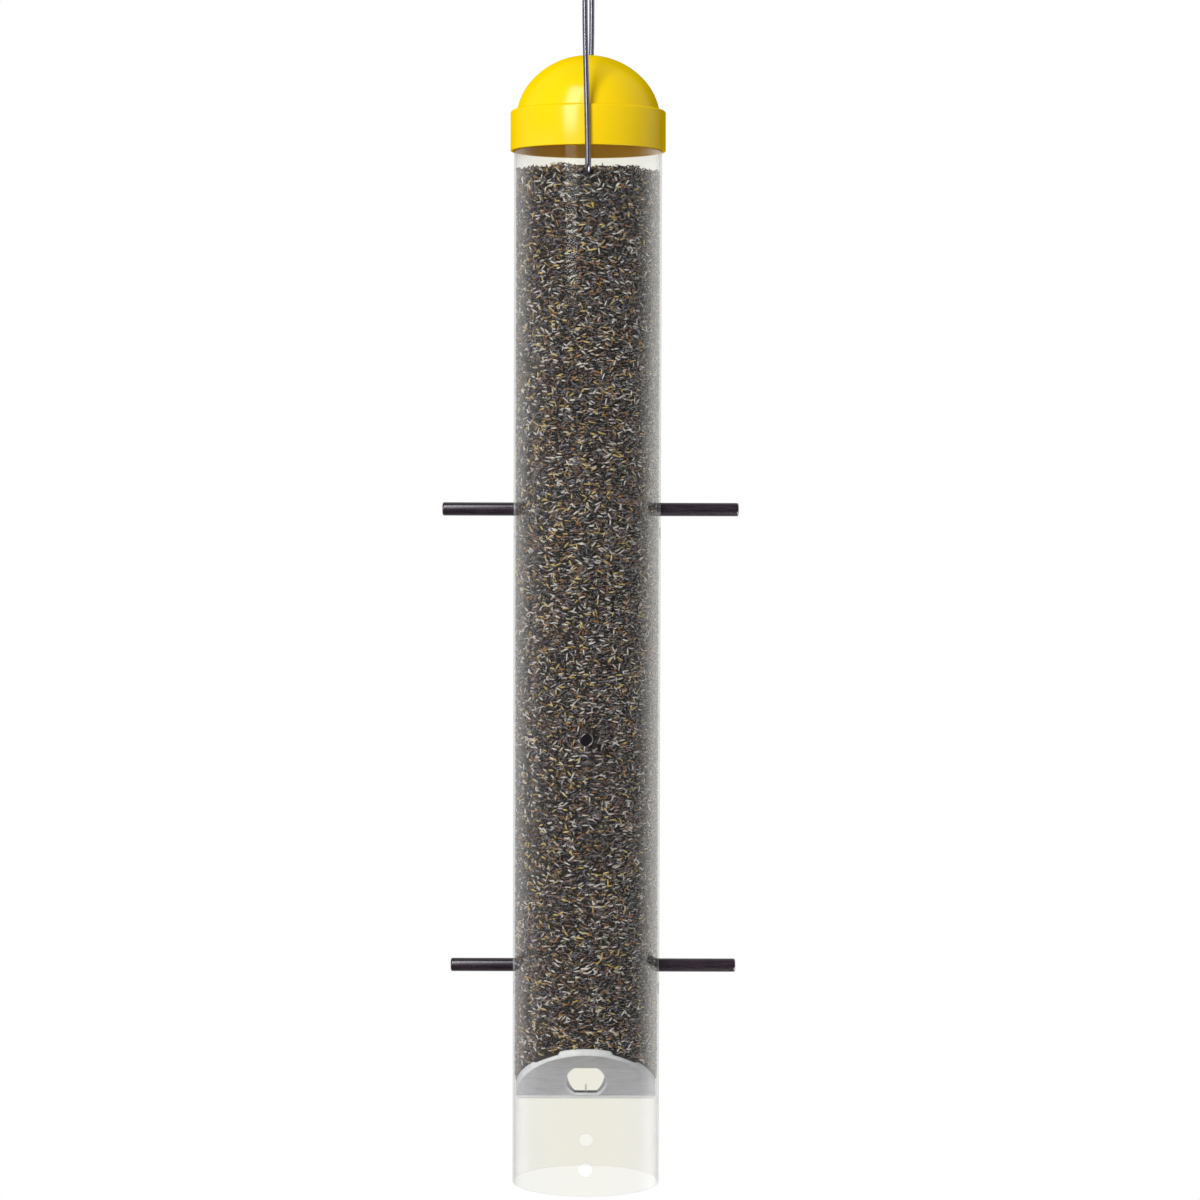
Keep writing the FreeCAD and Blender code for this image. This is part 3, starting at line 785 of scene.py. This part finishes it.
def top_grains(random, count):
    """Loose seeds over the top of the heap, at any heading, a few of them standing up."""
    radius = HEAP_RADIUS * np.sqrt(random.random(count))
    bearing = random.uniform(0, 2 * math.pi, count)
    x, y = radius * np.cos(bearing), radius * np.sin(bearing)
    level = HEAP_LEVEL + heap(x, y) - random.uniform(0, HEAP_DEPTH, count)
    heading = random.uniform(0, 2 * math.pi, count)
    lying = random.normal(0, LYING_SPREAD, count)
    standing = random.random(count) < STANDING_SHARE
    lying[standing] = random.uniform(math.radians(50), math.radians(88), standing.sum())
    return np.stack([x, y, level], axis=1), heading, lying, np.zeros(count)


def wall_seed_room(centre):
    """Which seeds have room: above the baffle's flange, below the heap's top, clear of perches and wire."""
    x, y, z = centre.T
    room = z > slope(y, FLANGE_RISE, FLANGE_FOOT + FLANGE_TAB) + FLANGE_GAP
    room &= z < HEAP_LEVEL + heap(x, y)
    for node in PERCHES:
        across = y if along_x(node) else x
        room &= np.hypot(across, z - middle(node).z) > PERCH_HOLE + FITTING_GAP
    pin = np.hypot(x, z - PIN_LEVEL) < WIRE_RADIUS + FITTING_GAP
    return room & ~(pin & (np.abs(y) > PIN_INNER_END - PIN_GAP))


def grains_mesh(centre, heading, lying, leaning, length, thick):
    """Every seed's points, each placed by its centre and turned by its three angles, and the triangles."""
    shape, faces = grain_shape()
    count = len(centre)
    flat = np.stack([np.cos(heading), np.sin(heading), np.zeros(count)], axis=1)
    up = np.array([0.0, 0.0, 1.0])
    outward = np.cross(flat, up)
    along = np.cos(lying)[:, None] * flat + np.sin(lying)[:, None] * up
    along = np.cos(leaning)[:, None] * along + np.sin(leaning)[:, None] * outward
    side = np.cross(up, along)
    side /= np.linalg.norm(side, axis=1)[:, None] + 1e-9
    top = np.cross(along, side)
    points = (
        centre[:, None, :]
        + (shape[None, :, 0:1] * length[:, None, None]) * along[:, None, :]
        + (shape[None, :, 1:2] * thick[:, None, None]) * side[:, None, :]
        + (shape[None, :, 2:3] * thick[:, None, None]) * top[:, None, :]
    )
    # A seed that would reach into the tube's wall moves inward until it just touches.
    reach = np.hypot(points[..., 0], points[..., 1]).max(axis=1)
    radius = np.hypot(centre[:, 0], centre[:, 1]) + 1e-9
    excess = np.maximum(reach - GRAIN_LIMIT, 0)
    inward = -centre[:, :2] / radius[:, None] * excess[:, None]
    points[..., 0] += inward[:, 0:1]
    points[..., 1] += inward[:, 1:2]
    faces = faces[None] + np.arange(count)[:, None, None] * len(shape)
    return points.reshape(-1, 3), faces.reshape(-1, 3)


def grains_unwrap(count):
    """Where each corner of each seed's triangles lies on a square sheet, one small square to a seed."""
    across = (0.04, 0.30, 0.54, 0.78, 0.96)
    corners = []
    for side in range(GRAIN_SIDES):
        low, mid, high = ((side + part) / GRAIN_SIDES for part in (0.08, 0.5, 0.92))
        corners += [(across[0], mid), (across[1], high), (across[1], low)]
        corners += [(across[4], mid), (across[3], low), (across[3], high)]
        for ring in (1, 2):
            a, b = (across[ring], low), (across[ring], high)
            c, d = (across[ring + 1], high), (across[ring + 1], low)
            corners += [a, b, c, a, c, d]
    squares = math.ceil(math.sqrt(count))
    cell = np.stack([np.arange(count) % squares, np.arange(count) // squares], axis=1)
    return ((cell[:, None, :] + np.array(corners)[None]) / squares).reshape(-1, 2)


def triangles_object(name, points, faces, unwrap):
    """A smooth object of many triangles, made quickly."""
    mesh = bpy.data.meshes.new(name)
    mesh.vertices.add(len(points))
    mesh.vertices.foreach_set("co", points.astype(np.float32).ravel())
    mesh.loops.add(3 * len(faces))
    mesh.loops.foreach_set("vertex_index", faces.astype(np.int32).ravel())
    mesh.polygons.add(len(faces))
    mesh.polygons.foreach_set("loop_start", np.arange(0, 3 * len(faces), 3, dtype=np.int32))
    mesh.update(calc_edges=True)
    mesh.shade_smooth()
    mesh.uv_layers.new(name="OFBake").data.foreach_set("uv", unwrap.astype(np.float32).ravel())
    made = bpy.data.objects.new(name, mesh)
    bpy.context.scene.collection.objects.link(made)
    return made


def make_grains():
    """The seed that shows, seed by seed, in a few pieces of each colour from the bottom up."""
    random = np.random.default_rng(11)
    layers = [wall_grains(random, depth) for depth in LAYER_DEPTHS]
    beds = [tuple(part[wall_seed_room(layer[0])] for part in layer) for layer in layers]
    beds.append(top_grains(random, HEAP_GRAINS))
    centre, heading, lying, leaning = (np.concatenate(parts) for parts in zip(*beds))
    count = len(centre)
    length = GRAIN_LENGTH * random.normal(1.0, 0.13, count).clip(0.65, 1.3)
    thick = GRAIN_RADIUS * random.normal(1.0, 0.16, count).clip(0.6, 1.4)
    pick = random.random(count)
    start = 0.0
    for name, share, dark, light, rough in GRAIN_COLOURS:
        chosen = np.flatnonzero((pick >= start) & (pick < start + share))
        start += share
        chosen = chosen[np.argsort(centre[chosen, 2])]
        material = grain_coat(f"seed_{name}", dark, light, rough)
        pieces = math.ceil(len(chosen) / GRAINS_PER_PIECE)
        for part, group in enumerate(np.array_split(chosen, pieces), start=1):
            points, faces = grains_mesh(
                *(values[group] for values in (centre, heading, lying, leaning, length, thick))
            )
            unwrap = grains_unwrap(len(group))
            piece = triangles_object(f"seeds_{name}_{part}", points, faces, unwrap)
            finish_piece(piece, "feeder", "seed", material)


def core_foot(x, y):
    """The level of the seed's underside: just over the baffle's panels, and over the duct between them."""
    over_panel = slope(y, PANEL_RISE, VALLEY_LEVEL + PANEL_DEPTH + CORE_GAP)
    over_duct = DUCT_LEVEL + DUCT_HALF_HEIGHT + DUCT_WALL + CORE_GAP
    beside = DUCT_RADIUS + DUCT_WALL + CORE_BESIDE
    return np.where(np.abs(x) < beside, np.maximum(over_panel, over_duct), over_panel)


def make_core(rings=32, steps=144):
    """The body of the seed behind the outer seeds, a little slimmer than the tube."""
    radius = CORE_RADIUS * np.linspace(0, 1, rings + 1)[1:]
    turn = 2 * np.pi * np.arange(steps) / steps
    x = np.append(0.0, np.outer(radius, np.cos(turn)))
    y = np.append(0.0, np.outer(radius, np.sin(turn)))
    upper = np.stack([x, y, HEAP_LEVEL + heap(x, y) - CORE_DROP], axis=1)
    lower = np.stack([x, y, core_foot(x, y)], axis=1)
    count = len(x)
    faces = []
    for step in range(steps):
        after = (step + 1) % steps
        faces += [(0, 1 + step, 1 + after), (count, count + 1 + after, count + 1 + step)]
        for ring in range(rings - 1):
            a, b = 1 + ring * steps + step, 1 + ring * steps + after
            c, d = b + steps, a + steps
            faces += [(a, d, c, b), (count + a, count + b, count + c, count + d)]
        a, b = count - steps + step, count - steps + after
        faces.append((a, a + count, b + count, b))
    core = mesh_object("seed_core", np.concatenate([upper, lower]), faces, smooth_under=40)
    finish_piece(core, "feeder", "seed", packed_seed_painted_shade(), "seed_fill")


# Baffle ------------------------------------------------------------------------------------------------


def duct_section(grow, steps=48):
    """The duct's outline as (x, level) points: a round with a flat top and bottom, grown outwards."""
    radius = DUCT_RADIUS + grow
    half = DUCT_HALF_HEIGHT + grow
    flat = math.degrees(math.asin(half / radius))
    right = arc((0, 0), radius, -flat, flat, steps // 2)
    left = arc((0, 0), radius, 180 - flat, 180 + flat, steps // 2)
    return [(x, DUCT_LEVEL + z) for x, z in right + left]


def panel_reach(level):
    """How far from the valley a panel's underside is at a level."""
    return BAFFLE_RADIUS * max(level - VALLEY_LEVEL, 0) / PANEL_RISE


def panel_level(y):
    """The level of a panel's underside."""
    return VALLEY_LEVEL + PANEL_RISE * abs(y) / BAFFLE_RADIUS


def panel_lines():
    """The lines that the panels are cut along, seen from above, as points in millimetres and edges."""
    rim = arc((0, 0), BAFFLE_RADIUS - PANEL_INSET, 0, 357.5, 144)
    mouths = [[(x, side * panel_reach(z)) for x, z in duct_section(0.0)] for side in (-1, 1)]
    points, edges = [], []
    for outline in (rim, *mouths):
        first = len(points)
        points += [Vector((x / MM, y / MM)) for x, y in outline]
        edges += [(first + i, first + (i + 1) % len(outline)) for i in range(len(outline))]
    # Points all along the valley, 2 mm apart, keep the crease between the two slopes straight.
    first = len(points)
    half = int((BAFFLE_RADIUS - PANEL_INSET) / MM)
    points += [Vector((x, 0)) for x in range(-half, half + 1, 2)]
    edges += [(i, i + 1) for i in range(first, len(points) - 1)]
    return points, edges


def make_panels(material):
    """The V of two sloping panels, with the duct's mouth cut through each."""
    flat, _, faces, *_ = delaunay_2d_cdt(*panel_lines(), [], 0, 1e-5)
    flat = [(p.x * MM, p.y * MM) for p in flat]

    def in_mouth(face):
        x, y = np.mean([flat[corner] for corner in face], axis=0)
        z = panel_level(y) - DUCT_LEVEL
        return abs(z) < DUCT_HALF_HEIGHT and math.hypot(x, z) < DUCT_RADIUS

    def spot(x, reach):
        """A point to the micrometre, the same at the front and the back."""
        return round(x / MM, 3), round(abs(reach) / MM, 3)

    kept = [list(face) for face in faces if not in_mouth(face)]
    mouth = {spot(x, panel_reach(z)): panel_reach(z - PANEL_DEPTH) for x, z in duct_section(0.0)}
    under = [(x, y, panel_level(y)) for x, y in flat]
    over = []
    for x, y in flat:
        # The mouth runs straight back, so on the upper face it lies nearer to the valley.
        back = math.copysign(mouth.get(spot(x, y), abs(y)), y)
        over.append((x, back, panel_level(back) + PANEL_DEPTH))
    count = len(flat)
    faces = [list(reversed(face)) for face in kept] + [[count + corner for corner in face] for face in kept]
    faces += [[a, b, count + b, count + a] for a, b in open_edges(kept)]
    panels = mesh_object("baffle_panels", under + over, faces, smooth_under=25)
    finish_piece(panels, "feeder", "milky_baffle", material, "seed_baffle")


def make_duct(material):
    """The passage from one panel's mouth to the other's, over the valley."""
    points, faces = [], []
    for grow in (0.0, DUCT_WALL):
        outline = duct_section(grow)
        for side in (-1, 1):
            for (x, z), (_, mouth) in zip(outline, duct_section(0.0)):
                level = mouth if grow else max(z, VALLEY_LEVEL + DUCT_LIFT)
                points.append((x, side * (panel_reach(level) - DUCT_INSET), z))
    count = len(points) // 4
    front, back, front_out, back_out = (count * loop for loop in range(4))
    for i in range(count):
        j = (i + 1) % count
        faces.append([front + i, back + i, back + j, front + j])
        faces.append([front_out + j, back_out + j, back_out + i, front_out + i])
        faces.append([front + j, front_out + j, front_out + i, front + i])
        faces.append([back + i, back_out + i, back_out + j, back + j])
    duct = mesh_object("baffle_duct", points, faces, smooth_under=30)
    finish_piece(duct, "feeder", "milky_baffle", material)


def flange_top(x, y):
    """The level of the flange's upper edge, with a tab at the front and back and a dip on each side of it."""
    wide = abs(x)
    tab = min(max((TAB_HALF_WIDTH + STEP_RAMP - wide) / STEP_RAMP, 0.0), 1.0)
    dip = min(max((DIP_HALF_WIDTH + STEP_RAMP - wide) / STEP_RAMP, 0.0), 1.0) * (1 - tab)
    level = FLANGE_FOOT + FLANGE_RISE * abs(y) / BAFFLE_RADIUS
    return min(level + FLANGE_TAB * tab - FLANGE_DIP * dip, BAFFLE_HIGH.z)


def make_flange(material, steps=288):
    """The rim that stands along the tube's wall around the panels."""
    inner, outer = BAFFLE_RADIUS - FLANGE_WALL, BAFFLE_RADIUS
    points = []
    for step in range(steps):
        turn = 2 * math.pi * step / steps
        across, along = math.cos(turn), math.sin(turn)
        top = flange_top(outer * across, outer * along)
        foot = VALLEY_LEVEL + PANEL_RISE * abs(along)
        section = [(inner, foot), (inner, top - FLANGE_EASE), (inner + FLANGE_EASE, top)]
        section += [(outer - FLANGE_EASE, top), (outer, top - FLANGE_EASE), (outer, foot)]
        points += [(radius * across, radius * along, level) for radius, level in section]
    faces = band(steps, len(section), closed=True)
    flange = mesh_object("baffle_flange", points, faces, smooth_under=50)
    finish_piece(flange, "feeder", "milky_baffle", material)


def make_valley(material, sides=12):
    """The bead along the valley's underside and the short rib that stands on it in the duct's mouth."""
    reach = BAFFLE_RADIUS - BEAD_INSET
    section = [(0, reach), (BEAD_RADIUS, reach), (BEAD_RADIUS, -reach), (0, -reach)]
    level = VALLEY_LEVEL - BEAD_DROP
    bead = lathe("baffle_bead", section, lambda across, side, along: (along, across, level + side), sides)
    finish_piece(bead, "feeder", "milky_baffle", material)
    corners = [
        (x * RIB_WIDTH / 2, y * RIB_DEPTH / 2, z)
        for z in (VALLEY_LEVEL, VALLEY_LEVEL + RIB_RISE)
        for x, y in ((-1, -1), (1, -1), (1, 1), (-1, 1))
    ]
    sheets = [[3, 2, 1, 0], [4, 5, 6, 7], [0, 1, 5, 4], [1, 2, 6, 5], [2, 3, 7, 6], [3, 0, 4, 7]]
    rib = mesh_object("baffle_rib", corners, sheets, smooth_under=30)
    finish_piece(rib, "feeder", "milky_baffle", material)


# Stage -------------------------------------------------------------------------------------------------


def softbox(name, colour, azimuth, elevation, distance, width, height, radiance):
    """An area light aimed at the feeder. Azimuth 0 stands at the camera's side and grows towards +X."""
    turn, rise = math.radians(azimuth), math.radians(elevation)
    way = Vector((math.sin(turn) * math.cos(rise), -math.cos(turn) * math.cos(rise), math.sin(rise)))
    data = bpy.data.lights.new(name, "AREA")
    data.shape = "RECTANGLE"
    data.size, data.size_y = width, height
    data.energy = radiance * math.pi * width * height
    data.color = colour
    light = bpy.data.objects.new(name, data)
    light.location = AIM + way * distance
    light.rotation_mode = "QUATERNION"
    light.rotation_quaternion = way.to_track_quat("Z", "Y")
    light.visible_camera = False
    bpy.context.scene.collection.objects.link(light)
    return light


def make_world():
    """A white studio, which looks plain white to the camera and lights the feeder mostly from behind.

    It is a little brighter on the right. Glossy parts see it brighter at both sides than in the middle,
    with a reflector low on the right.
    """
    world = bpy.data.worlds.new("studio")
    bpy.context.scene.world = world
    world.use_nodes = True
    tree = world.node_tree
    tree.nodes.clear()
    way = add(tree, "ShaderNodeTexCoord").outputs["Generated"]
    axes = add(tree, "ShaderNodeSeparateXYZ", {"Vector": way}).outputs
    across = axes["X"]
    path = add(tree, "ShaderNodeLightPath").outputs
    glossy = path["Is Glossy Ray"]
    glow = ranged(tree, axes["Y"], start=-0.2, end=0.5, low=FRONT_GLOW, high=REAR_GLOW)
    plain = scaled(tree, across, 0.14, 0.96)
    sides = scaled(tree, across, across, scaled(tree, across, 0.44, 0.58))
    shade = add(tree, "ShaderNodeMix", {"Factor": glossy, "A": plain, "B": sides}).outputs["Result"]
    near = add(tree, "ShaderNodeVectorMath", {0: way, 1: REFLECTOR_WAY}, operation="DOT_PRODUCT")
    near = near.outputs["Value"]
    reflector = ranged(tree, near, start=0.88, end=0.96, low=0.0, high=REFLECTOR_STRENGTH)
    reflector = add(tree, "ShaderNodeMath", {0: reflector, 1: glossy}, operation="MULTIPLY").outputs[0]
    lit = add(tree, "ShaderNodeBackground", {"Strength": scaled(tree, glow, shade, reflector)}).outputs[0]
    seen = add(tree, "ShaderNodeBackground", {"Color": (1, 1, 1, 1), "Strength": 1.0}).outputs[0]
    add(tree, "ShaderNodeOutputWorld", {"Surface": mixed(tree, path["Is Camera Ray"], lit, seen)})


def make_floor():
    """A plain pale floor well below the hanging feeder, which fades into the white of the backdrop."""
    floor = lathe("studio_floor", [(0.0, FLOOR_LEVEL), (FLOOR_RADIUS, FLOOR_LEVEL)], steps=96)
    floor.visible_glossy = False
    material, tree = empty_material("pale_floor")
    spot = add(tree, "ShaderNodeTexCoord").outputs["Object"]
    away = add(tree, "ShaderNodeVectorMath", {0: spot}, operation="LENGTH").outputs["Value"]
    tone = noise(tree, place(tree), 50 * MM)
    tone = blend(tree, tone, (0.3, (0.90, 0.90, 0.90)), (0.7, (0.93, 0.93, 0.93)))
    pale = add(tree, "ShaderNodeBsdfDiffuse", {"Color": tone}).outputs[0]
    gone = add(tree, "ShaderNodeBsdfTransparent").outputs[0]
    show(tree, mixed(tree, ranged(tree, away, start=0.7, end=1.35, low=0.0, high=1.0), pale, gone))
    floor.data.materials.append(material)


def make_camera():
    """A long lens level with the tube's upper half, tipped down a little and rolled slightly.

    The roll shows the upright feeder at the slight slant at which the real one hangs.
    """
    data = bpy.data.cameras.new("camera")
    data.sensor_width = 36.0
    data.lens = CAMERA_LENS
    data.clip_start, data.clip_end = 0.1, 50.0
    camera = bpy.data.objects.new("camera", data)
    camera.location = CAMERA_SPOT
    camera.rotation_euler = (math.radians(90 - CAMERA_TIP), math.radians(CAMERA_ROLL), 0)
    bpy.context.scene.collection.objects.link(camera)
    bpy.context.scene.camera = camera


def make_lights():
    """A tall window from above and a broad fill, both from the left of the camera, and a card at the left."""
    cool, warm, rosy = (0.96, 0.98, 1.0), (1.0, 0.99, 0.98), (1.0, 0.95, 0.96)
    softbox("window", cool, azimuth=-26, elevation=33, distance=2.3, width=0.8, height=2.45, radiance=8.3)
    fill = softbox("fill", warm, azimuth=-19, elevation=-3, distance=2.6, width=1.7, height=1.5, radiance=4.2)
    fill.visible_glossy = False
    softbox("left_card", rosy, azimuth=-72, elevation=-7, distance=2.0, width=1.8, height=0.85, radiance=0.9)


def make_stage():
    make_world()
    make_floor()
    make_lights()
    scene = bpy.context.scene
    scene.view_settings.view_transform = "Standard"
    scene.cycles.transparent_max_bounces = 32


make_camera()
make_stage()
make_bail(drawn_steel())
make_cap(cap_plastic())
# The pale milky cut edges are partly painted highlight, for the light that the holes' rims catch.
make_tube(clear_plastic(), milky_plastic("cut_plastic_and_highlight", (0.93, 0.94, 0.97), solid=0.62, glow=0.35))
PERCH_COAT, PERCH_END = perch_lacquer(), sealed_end()
for perch_node in PERCHES:
    make_perch(perch_node, PERCH_COAT, PERCH_END)
make_core()
make_grains()
make_panels(milky_plastic("natural_panel", (0.84, 0.85, 0.93), solid=0.88, glow=0.25))
EDGE_PLASTIC = milky_plastic("natural_edge", (0.86, 0.88, 0.96), solid=0.94, glow=0.12)
make_flange(EDGE_PLASTIC)
make_duct(EDGE_PLASTIC)
make_valley(milky_plastic("natural_thin", (0.95, 0.97, 1.0), solid=0.5, glow=0.6))
